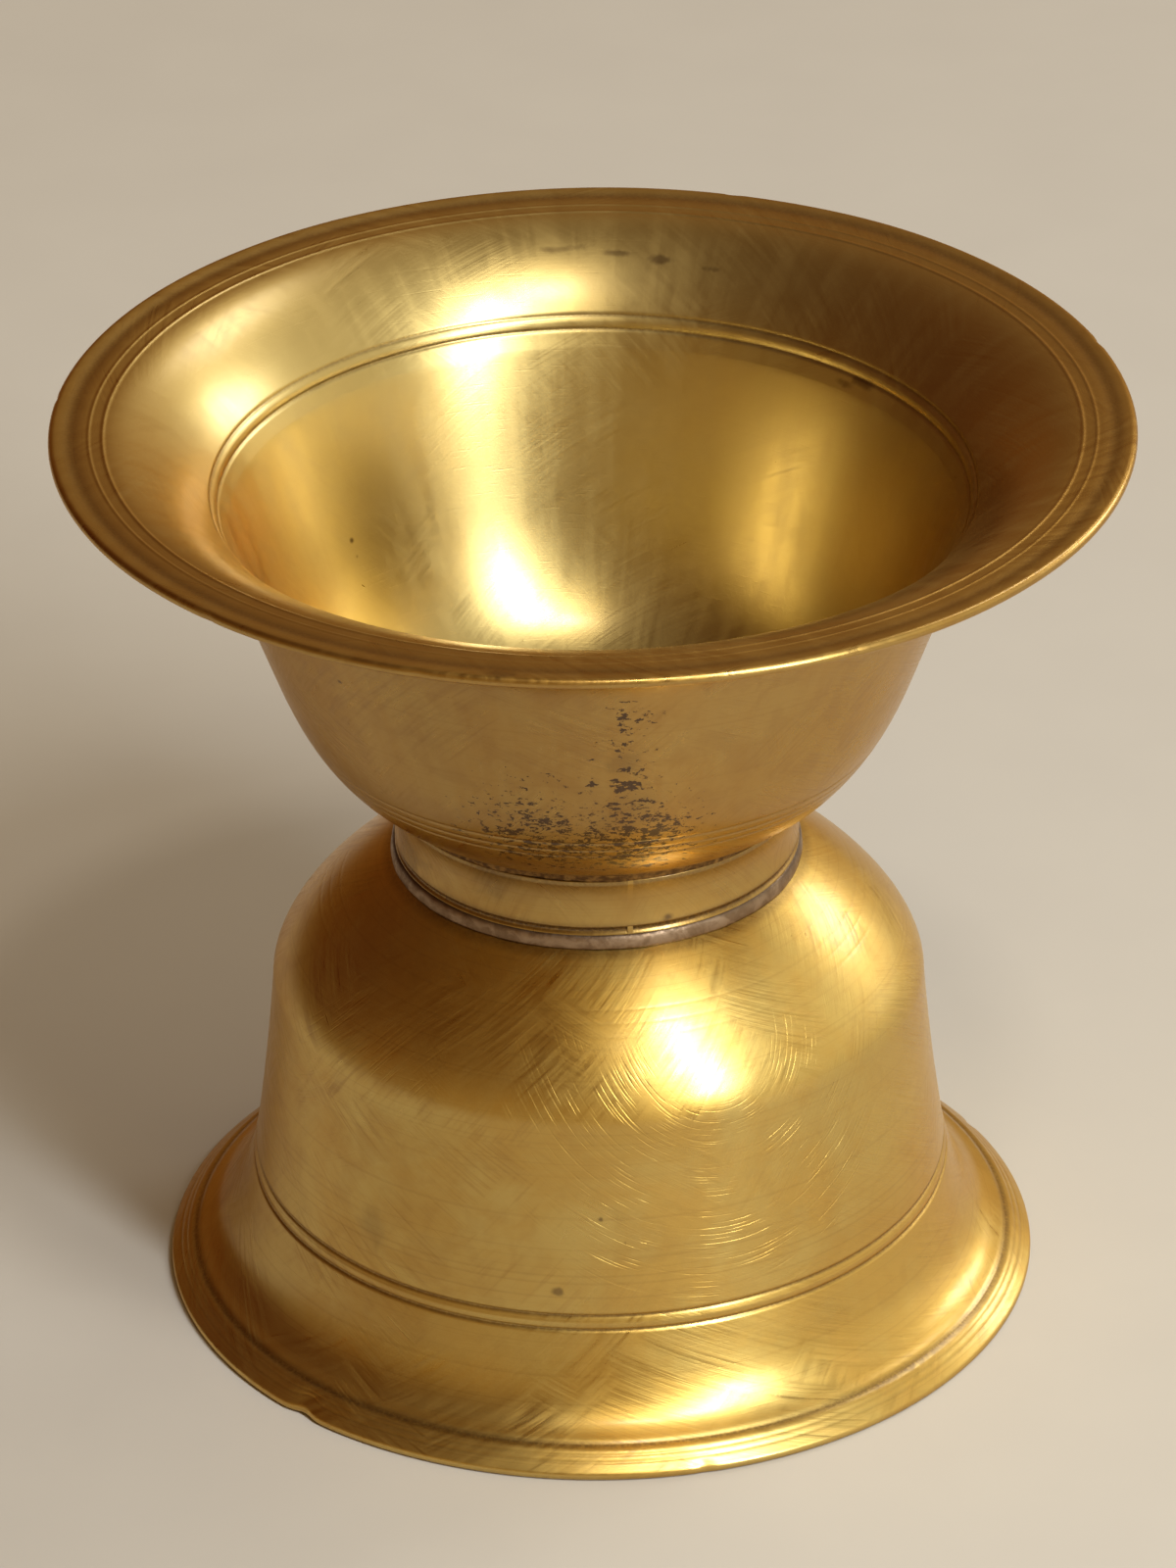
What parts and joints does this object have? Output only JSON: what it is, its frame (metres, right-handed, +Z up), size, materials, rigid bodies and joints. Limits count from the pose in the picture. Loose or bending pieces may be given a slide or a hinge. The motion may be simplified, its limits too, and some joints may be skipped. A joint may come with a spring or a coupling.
{
  "type": "diya oil lamp",
  "caption": "Brass oil lamp with a flared oil bowl on a short ring, soldered to an upturned bell-shaped base that stands on its flared foot.",
  "frame": {"origin": "centre of the circle that the foot stands on", "axes": "+Z up along the axis that every piece is turned about; -Y is the side that faces the viewer"},
  "size_m": [0.1, 0.1, 0.0891],
  "materials": {
    "bell_brass": "hand polished, worn, with fine scratches and turned lines",
    "bowl_brass": "hand polished, darkened by use, with casting pits",
    "ring_brass": "dull polish, tarnished at both edges",
    "braze": "rough and dark",
    "solder": "dull grey, smeared"
  },
  "bodies": {
    "root": {"base_bell": "bell_brass", "lower_solder": "solder", "foot_ring": "ring_brass", "ring_seam": "braze", "upper_braze": "braze", "oil_bowl": "bowl_brass"}
  },
  "joints": []
}
